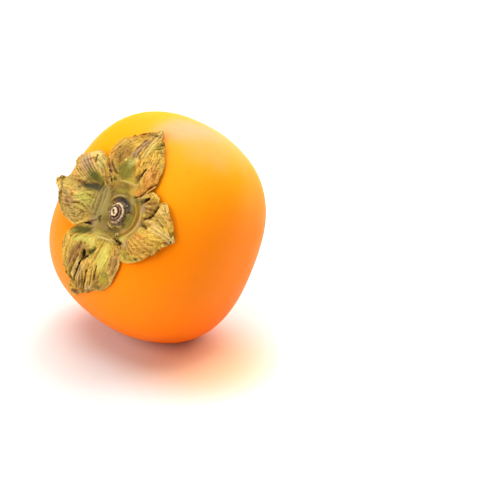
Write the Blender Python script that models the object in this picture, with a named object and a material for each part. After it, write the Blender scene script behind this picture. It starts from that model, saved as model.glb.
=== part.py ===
"""A whole ripe persimmon as picked, lying tilted on the small flat spot of its shoulder, calyx forward and up.

Run it with blender --background --python part.py, or from Blender's text editor. Units are metres, +Z is up.
Every piece is modelled in the fruit's own frame, whose Z axis runs from the blossom end to the stem and whose
origin is the middle of the widest section. One empty, fruit_axis, carries all of them and holds that frame
tilted, so that the centre of the flat spot is the world's origin and the calyx faces -Y.
"""

import math
from typing import NamedTuple

import bmesh
import bpy
from mathutils import Euler, Matrix, Vector

# How the fruit lies
AXIS_LIFT = math.radians(32.5)  # the stem points this far above the horizontal
FLAT_DEPTH = 0.0018  # how much the shoulder is flattened where it rests

# Body: a squared oval across the axis, and a rounded-box profile along it
MEAN_RADIUS = 0.0370
CROWN_RISE = 0.0269  # widest section to the shoulder round the calyx
BASE_DROP = 0.0293  # widest section to the blossom end
CROWN_POWER = 2.45  # 2 is an ellipse, more is squarer
BASE_POWER = 2.65
# (lobes round the axis, share of the radius, turn of the first lobe)
GIRTH_LOBES = (
    (2, 0.043, math.radians(94)),
    (3, 0.018, math.radians(80)),
    (4, 0.030, math.radians(36)),
)
CALYX_HOLLOW_DEPTH = 0.0036
CALYX_HOLLOW_RADIUS = 0.0110
BLOSSOM_DIMPLE_DEPTH = 0.0009
BLOSSOM_DIMPLE_RADIUS = 0.0045
BODY_SEGMENTS = 56
BODY_RINGS = 32

# Calyx
CALYX_CENTRE = Vector((0.0022, 0.0004))  # it grew a little to one side of the axis
SEAT_GAP = 0.00045  # between the fruit's skin and what lies on it
JOINT_GAP = 0.00035  # between pieces of the calyx
DISC_RADIUS = 0.0082
DISC_SQUARENESS = 0.04
DISC_TURN = math.radians(36)  # a corner of the disc, between two sepals
DISC_THICKNESS = 0.0014
DISC_RIM_RISE = 0.0008
DISC_SEGMENTS = 40
SEPAL_THICKNESS = 0.0010
SEPAL_ROWS = 11
SEPAL_COLUMNS = 10
SEPAL_BROADEST = 0.38  # share of the sepal's length, from the disc
SEPAL_BASE_WIDTH = 0.55  # share of its broadest
SEPAL_TIP_WIDTH = 0.05
SEPAL_TIP_POWER = 0.62  # under 1 keeps the tip broad before it comes to a point
SEPAL_LIFT_POWER = 1.6  # how late along its length a sepal leaves the skin


class Sepal(NamedTuple):
    heading: float  # of its midrib about the calyx's centre
    reach: float  # of its tip, from that centre
    left: float  # breadth to the left of the midrib, looking out from the centre
    right: float
    tip_lift: float
    edge_lift: float


SEPALS = {
    "sepal_top": Sepal(math.radians(86), 0.0288, 0.0122, 0.0098, 0.0006, 0.0006),
    "sepal_right": Sepal(math.radians(-7), 0.0216, 0.0110, 0.0134, 0.0012, 0.0006),
    "sepal_bottom": Sepal(math.radians(-107), 0.0318, 0.0116, 0.0125, 0.0010, 0.0008),
    "sepal_left": Sepal(math.radians(173), 0.0280, 0.0115, 0.0138, 0.0058, 0.0016),
}

# Stem stub and blossom end
STEM_RADIUS = 0.0029
STEM_TOP_RADIUS = 0.0024
STEM_HEIGHT = 0.0032
STEM_PITH_RADIUS = 0.0013
STEM_PITH_DEPTH = 0.0007
STEM_SEGMENTS = 24
STEM_BEVEL = 0.0003
TIP_RADIUS = 0.0011
TIP_END_RADIUS = 0.0003
TIP_LENGTH = 0.0015
TIP_SEGMENTS = 14

# material name: (colour, roughness)
MATERIALS = {
    "fruit_skin": ((0.90, 0.36, 0.03), 0.35),
    "calyx_green": ((0.33, 0.30, 0.08), 0.75),
    "sepal_dry": ((0.46, 0.36, 0.11), 0.80),
    "stem_bark": ((0.20, 0.13, 0.08), 0.90),
    "blossom_black": ((0.05, 0.03, 0.02), 0.90),
}


def clear_scene():
    for obj in list(bpy.data.objects):
        bpy.data.objects.remove(obj, do_unlink=True)


def make_material(name):
    colour, roughness = MATERIALS[name]
    material = bpy.data.materials.new(name)
    material.use_nodes = True
    shader = material.node_tree.nodes["Principled BSDF"]
    shader.inputs["Base Color"].default_value = (*colour, 1.0)
    shader.inputs["Roughness"].default_value = roughness
    shader.inputs["Metallic"].default_value = 0.0
    return material


def add_piece(name, bm, material, parent):
    """Makes the bmesh an object of that name, smooth but for its sharp edges, carried by parent."""
    mesh = bpy.data.meshes.new(name)
    bm.to_mesh(mesh)
    bm.free()
    mesh.shade_smooth()
    mesh.set_sharp_from_angle(angle=math.radians(40))
    mesh.materials.append(material)
    piece = bpy.data.objects.new(name, mesh)
    piece.parent = parent
    bpy.context.scene.collection.objects.link(piece)
    return piece


# The fruit's surface


def girth(turn):
    """Radius of the widest section, at a turn about the axis."""
    waves = sum(share * math.cos(lobes * (turn - first)) for lobes, share, first in GIRTH_LOBES)
    return MEAN_RADIUS * (1 + waves)


def hollow(x, y):
    """How far the hollow round the calyx's centre lies below the plain crown."""
    away = (Vector((x, y)) - CALYX_CENTRE).length
    return CALYX_HOLLOW_DEPTH * math.exp(-((away / CALYX_HOLLOW_RADIUS) ** 2))


def crown_height(x, y):
    """Height of the skin over the widest section, on the calyx's side."""
    share = min(math.hypot(x, y) / girth(math.atan2(y, x)), 1.0)
    return CROWN_RISE * (1 - share**CROWN_POWER) ** (1 / CROWN_POWER) - hollow(x, y)


def body_point(direction):
    """The skin's point for a direction on the unit sphere, so that its poles stay on the axis."""
    turn = math.atan2(direction.y, direction.x)
    across = min(math.hypot(direction.x, direction.y), 1.0)
    if direction.z >= 0:
        power, extent = CROWN_POWER, CROWN_RISE
    else:
        power, extent = BASE_POWER, -BASE_DROP
    radius = girth(turn) * across ** (2 / power)
    point = Vector((radius * math.cos(turn), radius * math.sin(turn), 0))
    point.z = extent * abs(direction.z) ** (2 / power)
    if direction.z >= 0:
        point.z -= hollow(point.x, point.y)
    else:
        point.z += BLOSSOM_DIMPLE_DEPTH * math.exp(-((radius / BLOSSOM_DIMPLE_RADIUS) ** 2))
    return point


def flatten(bm, tilt):
    """Cuts the resting flat and returns its centre, both with the fruit tilted as it lies."""
    lowest = min((tilt @ vert.co).z for vert in bm.verts)
    to_fruit = tilt.inverted()
    level = Vector((0, 0, lowest + FLAT_DEPTH))
    cut = bmesh.ops.bisect_plane(
        bm,
        geom=bm.verts[:] + bm.edges[:] + bm.faces[:],
        dist=1e-6,
        plane_co=to_fruit @ level,
        plane_no=to_fruit @ Vector((0, 0, -1)),
        clear_outer=True,
    )
    rim = [item for item in cut["geom_cut"] if isinstance(item, bmesh.types.BMEdge)]
    filled = bmesh.ops.holes_fill(bm, edges=rim, sides=0)
    return tilt @ filled["faces"][0].calc_center_median_weighted()


def build_fruit_body(material, parent, tilt):
    bm = bmesh.new()
    bmesh.ops.create_uvsphere(bm, u_segments=BODY_SEGMENTS, v_segments=BODY_RINGS, radius=1.0)
    for vert in bm.verts:
        vert.co = body_point(vert.co.normalized())
    flat_centre = flatten(bm, tilt)
    bmesh.ops.recalc_face_normals(bm, faces=bm.faces)
    add_piece("fruit_body", bm, material, parent)
    return flat_centre


# The calyx


def lay_on_crown(bm):
    """Moves a piece modelled over a flat plane, centred on the calyx, to lie the same way over the skin."""
    for vert in bm.verts:
        vert.co.x += CALYX_CENTRE.x
        vert.co.y += CALYX_CENTRE.y
        vert.co.z += crown_height(vert.co.x, vert.co.y)


def disc_top(radius):
    """Top of the calyx disc over the skin: flat, with a raised rim where the sepals start."""
    rim = DISC_RIM_RISE * math.exp(-(((radius - 0.86 * DISC_RADIUS) / (0.16 * DISC_RADIUS)) ** 2))
    return SEAT_GAP + DISC_THICKNESS + rim


def build_calyx_disc(material, parent):
    radii = [DISC_RADIUS * share for share in (0.22, 0.45, 0.64, 0.78, 0.88, 0.96)]
    under = [Vector((radius, 0, SEAT_GAP)) for radius in (0, *radii)]
    edge = [Vector((DISC_RADIUS, 0, SEAT_GAP + share * DISC_THICKNESS)) for share in (0.1, 0.8)]
    over = [Vector((radius, 0, disc_top(radius))) for radius in (*reversed(radii), 0)]
    bm = bmesh.new()
    verts = [bm.verts.new(point) for point in (*under, *edge, *over)]
    edges = [bm.edges.new(pair) for pair in zip(verts, verts[1:])]
    bmesh.ops.spin(
        bm,
        geom=verts + edges,
        axis=(0, 0, 1),
        cent=(0, 0, 0),
        angle=math.tau,
        steps=DISC_SEGMENTS,
        use_merge=True,
    )
    bmesh.ops.remove_doubles(bm, verts=bm.verts, dist=1e-6)
    for vert in bm.verts:
        turn = math.atan2(vert.co.y, vert.co.x)
        squared = 1 + DISC_SQUARENESS * math.cos(4 * (turn - DISC_TURN))
        vert.co.x *= squared
        vert.co.y *= squared
    lay_on_crown(bm)
    bmesh.ops.recalc_face_normals(bm, faces=bm.faces)
    return add_piece("calyx_disc", bm, material, parent)


def sepal_fullness(share):
    """Width at a share of the length, over the broadest width."""
    if share < SEPAL_BROADEST:
        swell = math.sin(0.5 * math.pi * share / SEPAL_BROADEST)
        return SEPAL_BASE_WIDTH + (1 - SEPAL_BASE_WIDTH) * swell
    taper = math.cos(0.5 * math.pi * (share - SEPAL_BROADEST) / (1 - SEPAL_BROADEST))
    return SEPAL_TIP_WIDTH + (1 - SEPAL_TIP_WIDTH) * max(taper, 0.0) ** SEPAL_TIP_POWER


def room_beside(along, heading, side):
    """The width free on one side of a midrib, that far out, before it meets the next sepal's share."""
    turns = [(side * (other.heading - heading)) % math.tau for other in SEPALS.values()]
    to_next = min(turn for turn in turns if turn > 1e-6)
    return along * math.tan(to_next / 2) - JOINT_GAP


def build_sepal(name, material, parent):
    """A broad pointed leaf of even thickness that follows the skin and lifts off it at its tip and edges."""
    sepal = SEPALS[name]
    start = DISC_RADIUS * (1 + DISC_SQUARENESS) + JOINT_GAP
    out = Vector((math.cos(sepal.heading), math.sin(sepal.heading)))
    left = Vector((-out.y, out.x))
    bm = bmesh.new()
    bmesh.ops.create_grid(bm, x_segments=SEPAL_ROWS, y_segments=SEPAL_COLUMNS, size=1.0)
    for vert in bm.verts:
        share = 0.5 * (vert.co.x + 1)
        aside = vert.co.y
        along = start + share * (sepal.reach - start)
        side = math.copysign(1, aside)
        breadth = sepal.left if aside > 0 else sepal.right
        width = min(breadth * sepal_fullness(share), room_beside(along, sepal.heading, side))
        spot = along * out + aside * width * left
        lift = sepal.tip_lift * share**SEPAL_LIFT_POWER + sepal.edge_lift * share * aside**2
        vert.co = Vector((spot.x, spot.y, SEAT_GAP + lift))
    lay_on_crown(bm)
    bmesh.ops.recalc_face_normals(bm, faces=bm.faces)
    if sum(face.normal.z for face in bm.faces) < 0:
        bmesh.ops.reverse_faces(bm, faces=bm.faces)
    piece = add_piece(name, bm, material, parent)
    body = piece.modifiers.new("body", "SOLIDIFY")
    body.thickness = SEPAL_THICKNESS
    body.offset = 1.0
    return piece


# The two ends of the axis


def build_stem_stub(material, parent):
    """The broken stalk: a short tapered cylinder with a sunk pith in its end."""
    foot = Vector((*CALYX_CENTRE, crown_height(*CALYX_CENTRE) + disc_top(0) + JOINT_GAP))
    bm = bmesh.new()
    bmesh.ops.create_cone(
        bm,
        cap_ends=True,
        segments=STEM_SEGMENTS,
        radius1=STEM_RADIUS,
        radius2=STEM_TOP_RADIUS,
        depth=STEM_HEIGHT,
        matrix=Matrix.Translation(foot + Vector((0, 0, STEM_HEIGHT / 2))),
    )
    end = max(bm.faces, key=lambda face: face.calc_center_median().z)
    bmesh.ops.inset_region(bm, faces=[end], thickness=STEM_TOP_RADIUS - STEM_PITH_RADIUS)
    pith = bmesh.ops.extrude_discrete_faces(bm, faces=[end])["faces"][0]
    bmesh.ops.translate(bm, verts=pith.verts, vec=(0, 0, -STEM_PITH_DEPTH))
    stub = add_piece("stem_stub", bm, material, parent)
    rounding = stub.modifiers.new("rounding", "BEVEL")
    rounding.width = STEM_BEVEL
    rounding.segments = 1
    rounding.angle_limit = math.radians(50)
    return stub


def build_blossom_tip(material, parent):
    """The dry remnant of the style: a small dark point in the dimple opposite the stem."""
    foot = -BASE_DROP + BLOSSOM_DIMPLE_DEPTH - SEAT_GAP
    bm = bmesh.new()
    bmesh.ops.create_cone(
        bm,
        cap_ends=True,
        segments=TIP_SEGMENTS,
        radius1=TIP_END_RADIUS,
        radius2=TIP_RADIUS,
        depth=TIP_LENGTH,
        matrix=Matrix.Translation((0, 0, foot - TIP_LENGTH / 2)),
    )
    return add_piece("blossom_tip", bm, material, parent)


def main():
    clear_scene()
    materials = {name: make_material(name) for name in MATERIALS}
    fruit_axis = bpy.data.objects.new("fruit_axis", None)
    bpy.context.scene.collection.objects.link(fruit_axis)
    lean = Euler((math.radians(90) - AXIS_LIFT, 0, 0))

    flat_centre = build_fruit_body(materials["fruit_skin"], fruit_axis, lean.to_matrix())
    build_calyx_disc(materials["calyx_green"], fruit_axis)
    for name in SEPALS:
        build_sepal(name, materials["sepal_dry"], fruit_axis)
    build_stem_stub(materials["stem_bark"], fruit_axis)
    build_blossom_tip(materials["blossom_black"], fruit_axis)

    fruit_axis.rotation_euler = lean
    fruit_axis.location = -flat_centre


main()
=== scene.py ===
"""The looks of a whole ripe persimmon, lying tilted with its dry calyx forward and up.

The fruit has a frame of its own: its Z axis runs from the blossom end to the stem, and its origin is the middle
of the widest section. The calyx is modelled in plan, in millimetres from its own centre: a point of it is
(x, y) along the fruit frame's X and Y, and a height over the skin. Blender's frame is in metres.
"""

import math
from typing import NamedTuple

import bmesh
import bpy
import numpy as np
from mathutils import Euler, Matrix, Vector, noise


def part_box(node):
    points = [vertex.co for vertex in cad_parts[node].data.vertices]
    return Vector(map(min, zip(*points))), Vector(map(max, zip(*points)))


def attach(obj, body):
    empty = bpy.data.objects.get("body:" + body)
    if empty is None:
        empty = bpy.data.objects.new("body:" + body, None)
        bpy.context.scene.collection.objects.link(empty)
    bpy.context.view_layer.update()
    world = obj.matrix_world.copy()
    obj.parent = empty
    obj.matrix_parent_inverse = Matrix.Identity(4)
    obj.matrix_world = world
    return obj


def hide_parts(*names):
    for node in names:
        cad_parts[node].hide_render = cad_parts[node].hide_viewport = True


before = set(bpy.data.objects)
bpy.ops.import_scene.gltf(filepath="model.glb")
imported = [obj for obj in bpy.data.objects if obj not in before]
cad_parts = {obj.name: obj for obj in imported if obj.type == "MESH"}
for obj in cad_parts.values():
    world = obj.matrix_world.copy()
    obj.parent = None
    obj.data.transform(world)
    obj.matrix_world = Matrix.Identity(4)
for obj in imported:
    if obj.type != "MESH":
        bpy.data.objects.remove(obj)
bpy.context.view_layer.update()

MM = 0.001

# How the fruit lies
AXIS_LIFT = math.radians(32.5)
LEAN = Euler((math.radians(90) - AXIS_LIFT, 0, 0))

# The body: a squared oval across the axis, and a rounded-box profile along it
MEAN_RADIUS = 0.0370
CROWN_RISE = 0.0269
BASE_DROP = 0.0293
CROWN_POWER = 2.45
BASE_POWER = 2.65
# (lobes round the axis, share of the radius, turn of the first lobe)
GIRTH_LOBES = (
    (2, 0.043, math.radians(94)),
    (3, 0.018, math.radians(80)),
    (4, 0.030, math.radians(36)),
)
CALYX_CENTRE = (0.0022, 0.0004)
CALYX_HOLLOW_DEPTH = 0.0036
CALYX_HOLLOW_RADIUS = 0.0110
BLOSSOM_DIMPLE_DEPTH = 0.0009
BLOSSOM_DIMPLE_RADIUS = 0.0045
# Deeper orange towards the ground and yellower towards the top: partly the fruit's own colour, partly painted shade
# below and painted light on top
SKIN_COLOUR = (0.940, 0.226, 0.0012)
RIPE_AND_SHADED_COLOUR = (0.950, 0.192, 0.0010)
RIPE_AND_SHADED_HEIGHTS = (0.034, 0.004)  # at which the deeper colour, partly ripeness and partly painted shade, starts to show, and shows in full
YELLOW_AND_LIT_COLOUR = (0.945, 0.325, 0.0045)
YELLOW_AND_LIT_HEIGHTS = (0.038, 0.066)
BODY_SEGMENTS = 256
BODY_RINGS = 160
SKIN_WAVE_PITCH = 0.013
SKIN_WAVE = 0.00010
# Painted highlights, pale clouds on top of the fruit: (centre, radii, heading, strength)
PAINTED_HIGHLIGHTS = (
    ((0.0100, 0.0160, 0.0675), (0.0150, 0.0150, 0.0120), 0, 0.38),
    ((0.0046, 0.0102, 0.0716), (0.0125, 0.0066, 0.0095), 58, 0.80),
)
HIGHLIGHT_COLOUR = (0.930, 0.335, 0.170)
HIGHLIGHT_BORDER = (1.45, 0.15)  # shares of its radii at which a painted highlight starts to show, and shows in full
FLAT_SOFTNESS = 0.0003  # how gradually the skin turns into the resting flat

# The calyx, in millimetres
LEAF_THICKNESS = 0.55
DISC_THICKNESS = 0.9
DISC_RADIUS = 8.3
DISC_SQUARENESS = 0.04
DISC_TURN = math.radians(36)
DISC_SEGMENTS = 200
DISC_RINGS = 70
SEAM_WIDTH = 0.8
SEAM_DROP = 0.10
PEBBLE_RISE = 0.09
PEBBLE_PITCH = 1.1
THREAD_WAVES = (5, 17)  # along a leaf, and across half of it
EDGE_RAGGEDNESS = 0.22
EDGE_PITCH = 3.1 / 60  # as a share of half the leaf's length
EDGE_DROP = 0.18  # how far a leaf's surface falls towards its rim
CRUMPLE = (0.18, 2.2, 9.0)  # a layer of noise: its height, pitch and seed
DISC_WEAR = (0.05, 0.12, 0.0)  # another
MARK_WIDTH = 0.40  # folds wider than this get less painted shade and highlight
MARK_LIMIT = 0.45
# painted highlight along a leaf's rim
RIM_HIGHLIGHT = 0.14
LEAF_FREEDOM = (7.6, 10.4)  # distances from the centre where a leaf's own shapes set in, and show in full
LEAF_ROWS = 190
LEAF_COLUMNS = 190
LENGTH_UNIT = 20  # millimetres from the calyx's centre for which the attribute along says 1
PATCH_BORDER = (1.30, 0.45)  # shares of its radii at which a patch starts to show, and shows in full
PATCH_STRAY = 2.0  # a patch's border strays less than this
SMOOTHING = 0.6  # how far a patch of a smooth colour calms the surface
FIBRE_CONTRAST = 4.6
GRIT_CONTRAST = 1.6
HOLLOW_SHADE = (0.50, 0.37, 0.24)  # painted shade in the tissue's fine hollows, over its own darker grain
# painted highlight on the tissue's fine rises, over its own paler grain
RISE_HIGHLIGHT = (1.34, 1.35, 1.42)
# painted shade in the creases
CREASE_SHADE = (0.17, 0.11, 0.07)

# Camera, seen from the middle of the fruit
VIEW_AZIMUTH = math.radians(39.6)
VIEW_ELEVATION = math.radians(27)
VIEW_DISTANCE = 0.5365
VIEW_LENS = 119.4
VIEW_ASIDE = 0.0281  # the view's middle lies this far to the right of the fruit's
VIEW_BELOW = 0.0045

# Light and floor
FLOOR_SIZE = 4.0
FLOOR_WHITE = (0.73, 0.68, 0.65)
PAINTED_BOUNCE_COLOUR = (0.80, 0.46, 0.27)
BOUNCE_SPOT = (0.028, -0.008, 0)  # of the floor, where the painted orange bounce light of the fruit is strongest
BOUNCE_BORDER = (0.006, 0.036)  # how far from that spot the painted bounce light starts to fade, and ends
LAMP_SPREAD = math.radians(60)
WORLD_STRENGTH = 0.05


# Shader maths


def plug(slot, value):
    """Links a Wire to a node's input, or sets it to a number, a vector or a colour."""
    if isinstance(value, Wire):
        value.socket.id_data.links.new(value.socket, slot)
    elif slot.type == "RGBA" and len(value) == 3:
        slot.default_value = (*value, 1.0)
    else:
        slot.default_value = value


class Wire:
    """One output of a shader node. Arithmetic on it adds Math nodes."""

    def __init__(self, socket):
        self.socket = socket

    def math(self, operation, first, second):
        node = self.socket.id_data.nodes.new("ShaderNodeMath")
        node.operation = operation
        plug(node.inputs[0], first)
        plug(node.inputs[1], second)
        return Wire(node.outputs[0])

    def __add__(self, other):
        return self.math("ADD", self, other)

    __radd__ = __add__

    def __sub__(self, other):
        return self.math("SUBTRACT", self, other)

    def __rsub__(self, other):
        return self.math("SUBTRACT", other, self)

    def __mul__(self, other):
        return self.math("MULTIPLY", self, other)

    __rmul__ = __mul__


class Finish:
    """A material, its Principled shader, and the methods that add every other node to it."""

    def __init__(self, name, fixed):
        self.material = bpy.data.materials.new(name)
        self.material.use_nodes = True
        self.tree = self.material.node_tree
        self.shader = self.tree.nodes["Principled BSDF"]
        for socket, value in fixed.items():
            plug(self.shader.inputs[socket], value)
        self.object_place = self.add("ShaderNodeTexCoord", output="Object")

    def add(self, kind, settings=None, inputs=None, output=0):
        node = self.tree.nodes.new(kind)
        for name, value in (settings or {}).items():
            setattr(node, name, value)
        for socket, value in (inputs or {}).items():
            plug(node.inputs[socket], value)
        return Wire(node.outputs[output])

    def set(self, socket, value):
        plug(self.shader.inputs[socket], value)

    def vector(self, operation, *vectors):
        """Vector maths, which gives a number for a length, a distance or a dot product."""
        output = "Value" if operation in ("LENGTH", "DISTANCE", "DOT_PRODUCT") else "Vector"
        return self.add("ShaderNodeVectorMath", {"operation": operation}, dict(enumerate(vectors)), output)

    def seen_from(self, centre, scale, place, turn=(0, 0, 0)):
        """The place in a frame at centre, turned and scaled."""
        inputs = {"Vector": place, "Location": centre, "Rotation": turn, "Scale": scale}
        return self.add("ShaderNodeMapping", {"vector_type": "TEXTURE"}, inputs)

    def wander(self, place, scale, detail):
        """A colour of smooth noise, to move a pattern by."""
        inputs = {"Vector": place, "Scale": scale, "Detail": detail}
        return self.add("ShaderNodeTexNoise", None, inputs, "Color")

    def mix(self, factor, low, high):
        """The colour low where factor is 0, and high where it is 1."""
        return self.add("ShaderNodeMix", {"data_type": "RGBA"}, {0: factor, 6: low, 7: high}, output=2)

    def shade(self, factor, colour, by):
        """The colour multiplied by another, as far as factor says."""
        settings = {"data_type": "RGBA", "blend_type": "MULTIPLY"}
        return self.add("ShaderNodeMix", settings, {0: factor, 6: colour, 7: by}, output=2)

    def step(self, value, low, high, start=0.0, end=1.0):
        """start up to low, end past high, and a smooth change between."""
        inputs = {"Value": value, "From Min": low, "From Max": high, "To Min": start, "To Max": end}
        return self.add("ShaderNodeMapRange", {"interpolation_type": "SMOOTHSTEP"}, inputs)

    def noise(self, place, scale, detail=2.0, roughness=0.5, distortion=0.0):
        shape = {"Scale": scale, "Detail": detail, "Roughness": roughness, "Distortion": distortion}
        return self.add("ShaderNodeTexNoise", None, {"Vector": place, **shape})

    def cells(self, place, scale, feature="F1"):
        return self.add("ShaderNodeTexVoronoi", {"feature": feature}, {"Vector": place, "Scale": scale}, "Distance")

    def attribute(self, name):
        return self.add("ShaderNodeAttribute", {"attribute_name": name}, output="Fac")

    def bump(self, height, depth, strength=1.0, below=None):
        inputs = {"Strength": strength, "Distance": depth, "Height": height}
        if below is not None:
            inputs["Normal"] = below
        return self.add("ShaderNodeBump", None, inputs)


# The fruit's surface


def girth(turn):
    """Radius of the widest section, at a turn about the axis."""
    waves = sum(share * np.cos(lobes * (turn - first)) for lobes, share, first in GIRTH_LOBES)
    return MEAN_RADIUS * (1 + waves)


def hollow(x, y):
    """How far the hollow round the calyx's centre lies below the plain crown."""
    away = np.hypot(x - CALYX_CENTRE[0], y - CALYX_CENTRE[1])
    return CALYX_HOLLOW_DEPTH * np.exp(-((away / CALYX_HOLLOW_RADIUS) ** 2))


def crown_height(x, y):
    """Height of the skin over the widest section, on the calyx's side."""
    share = np.minimum(np.hypot(x, y) / girth(np.arctan2(y, x)), 1.0)
    return CROWN_RISE * (1 - share**CROWN_POWER) ** (1 / CROWN_POWER) - hollow(x, y)


def body_points(directions):
    """The skin's points for directions on the unit sphere, so that its poles stay on the axis."""
    dx, dy, dz = directions.T
    turn = np.arctan2(dy, dx)
    crown = dz >= 0
    power = np.where(crown, CROWN_POWER, BASE_POWER)
    extent = np.where(crown, CROWN_RISE, -BASE_DROP)
    radius = girth(turn) * np.minimum(np.hypot(dx, dy), 1.0) ** (2 / power)
    x, y = radius * np.cos(turn), radius * np.sin(turn)
    dimple = BLOSSOM_DIMPLE_DEPTH * np.exp(-((radius / BLOSSOM_DIMPLE_RADIUS) ** 2))
    z = extent * np.abs(dz) ** (2 / power) + np.where(crown, -hollow(x, y), dimple)
    return np.stack([x, y, z], axis=1)


# Meshes


def spun(profile, steps, nearest=1e-6):
    """A bmesh of a profile, given as points from the Z axis out, spun about that axis."""
    bm = bmesh.new()
    verts = [bm.verts.new(point) for point in profile]
    lines = [bm.edges.new(pair) for pair in zip(verts, verts[1:])]
    about = {"axis": (0, 0, 1), "cent": (0, 0, 0), "angle": math.tau}
    bmesh.ops.spin(bm, geom=verts + lines, **about, steps=steps, use_merge=True)
    bmesh.ops.remove_doubles(bm, verts=bm.verts, dist=nearest)
    return bm


def points_of(mesh):
    points = np.empty(len(mesh.vertices) * 3)
    mesh.vertices.foreach_get("co", points)
    return points.reshape(-1, 3)


def set_points(mesh, points):
    mesh.vertices.foreach_set("co", np.ascontiguousarray(points, dtype=np.float32).ravel())
    mesh.update()


def set_attribute(mesh, name, values):
    layer = mesh.attributes.new(name, "FLOAT", "POINT")
    layer.data.foreach_set("value", np.ascontiguousarray(values, dtype=np.float32))


def mesh_of(name, bm):
    """A smooth mesh made from the bmesh, with its faces pointing out."""
    bmesh.ops.recalc_face_normals(bm, faces=bm.faces)
    mesh = bpy.data.meshes.new(name)
    bm.to_mesh(mesh)
    bm.free()
    mesh.shade_smooth()
    return mesh


def shape_of(name, create, **settings):
    """A mesh from one of bmesh's operators that create a shape."""
    bm = bmesh.new()
    create(bm, **settings)
    return mesh_of(name, bm)


def add_object(name, mesh, finish):
    mesh.materials.append(finish.material)
    thing = bpy.data.objects.new(name, mesh)
    bpy.context.scene.collection.objects.link(thing)
    return thing


def add_piece(name, mesh, finish, node):
    """Makes the mesh a piece of the fruit that stands for a CAD node."""
    piece = add_object(name, mesh, finish)
    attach(piece, "root")
    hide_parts(node)
    return piece


def smooth_step(value, low, high):
    share = np.clip((value - low) / (high - low), 0, 1)
    return share * share * (3 - 2 * share)


def noise_at(points, pitch, seed=0.0):
    """Smooth noise from -1 to 1 at each point, its waves about pitch apart."""
    shift = Vector((seed, 2.3 * seed, -1.7 * seed))
    return np.array([noise.noise(Vector(point) / pitch + shift) for point in points])


def rough_at(points, *layers):
    """Layers of noise added up, each given as its height, pitch and seed."""
    return sum(height * noise_at(points, pitch, seed) for height, pitch, seed in layers)


def find_fruit_place(body):
    """Where the fruit's own frame stands, so that the leaning body fills its CAD box."""
    lean = LEAN.to_matrix()
    leaning = points_of(body) @ np.array(lean).T
    low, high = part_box("fruit_body")
    middle = (leaning.min(axis=0) + leaning.max(axis=0)) / 2
    place = (low + high) / 2 - Vector(middle)
    place.z = high.z - leaning[:, 2].max()
    return Matrix.Translation(place) @ lean.to_4x4()


def put_in_place(mesh, fruit_place):
    mesh.transform(fruit_place)
    mesh.update()


# The calyx in plan, in millimetres


class Fold(NamedTuple):
    """A ridge, or a crease if its height is negative, along a bowed line."""

    start: tuple
    end: tuple
    height: float
    width: float
    bow: float = 0.0


class Pillow(NamedTuple):
    """A domed or, if its height is negative, hollowed oval."""

    centre: tuple
    radii: tuple
    height: float
    turn: float = 0.0


class Pleats(NamedTuple):
    """Wrinkles side by side, spread evenly from one line to another."""

    first_start: tuple
    first_end: tuple
    last_start: tuple
    last_end: tuple
    count: int
    height: float
    width: float
    ridge: float = 1.0  # height of its ridges against the depth of its creases


class Patch(NamedTuple):
    """An oval of another colour."""

    centre: tuple
    radii: tuple
    turn: float
    colour: str
    strength: float = 1.0


class Arc(NamedTuple):
    """Part of a ring of another colour round the calyx's middle, as far as span degrees to each side of heading."""

    radius: float
    width: float
    heading: float
    span: float
    colour: str
    strength: float = 1.0


class Leaf(NamedTuple):
    """A sepal: its edges from the disc to its tip, left and right as seen from above, and what shapes it."""

    left: tuple
    right: tuple
    tip: tuple
    lift: float  # of the whole leaf over its neighbours
    tip_lift: float
    edge_lift: float
    wrinkle: float
    grain: tuple  # length and width of its pebbles
    shapes: tuple
    patches: tuple
    skew: float = 1.0  # how much later than its right edge its left edge sets off
    bites: tuple = ()  # the middle and radius of each round piece missing from its rim


def fold_at(x, y, fold):
    dx, dy = fold.end[0] - fold.start[0], fold.end[1] - fold.start[1]
    length = math.hypot(dx, dy)
    along = ((x - fold.start[0]) * dx + (y - fold.start[1]) * dy) / length**2
    along = np.clip(along, 0, 1)
    bow = 4 * fold.bow * along * (1 - along)
    near_x = fold.start[0] + along * dx - bow * dy / length
    near_y = fold.start[1] + along * dy + bow * dx / length
    return fold.height * np.exp(-(((x - near_x) ** 2 + (y - near_y) ** 2) / fold.width**2))


def pillow_at(x, y, pillow):
    turn = math.radians(pillow.turn)
    dx, dy = x - pillow.centre[0], y - pillow.centre[1]
    across = (dx * math.cos(turn) + dy * math.sin(turn)) / pillow.radii[0]
    along = (dy * math.cos(turn) - dx * math.sin(turn)) / pillow.radii[1]
    return pillow.height * np.exp(-((across**2 + along**2) ** 1.4))


def between(first, last, share):
    return tuple(a + (b - a) * share for a, b in zip(first, last))


def pleat_folds(pleats):
    """The pleats' creases, and a ridge between each two."""
    folds = []
    for k in range(2 * pleats.count - 1):
        share = k / (2 * pleats.count - 2)
        start = between(pleats.first_start, pleats.last_start, share)
        end = between(pleats.first_end, pleats.last_end, share)
        folds.append(Fold(start, end, pleats.height * (1 if k % 2 == 0 else -pleats.ridge), pleats.width))
    return folds


def shapes_at(x, y, shapes):
    """(swell, relief, mark): heights of the broad shapes and of the narrow ones, and how far those paint shade into the
    leaf's creases and highlights onto its ridges.
    """
    swell, relief, mark = np.zeros_like(x), np.zeros_like(x), np.zeros_like(x)
    for shape in shapes:
        if isinstance(shape, Pillow):
            swell += pillow_at(x, y, shape)
            continue
        for fold in pleat_folds(shape) if isinstance(shape, Pleats) else [shape]:
            height = fold_at(x, y, fold)
            relief += height
            mark += height * min(1, (MARK_WIDTH / fold.width) ** 2)
    return swell, relief, MARK_LIMIT * np.tanh(mark / MARK_LIMIT)


# Folds of the disc and of the leaves' feet. Through the mark, their creases get painted shade and their ridges a
# painted highlight.
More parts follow.
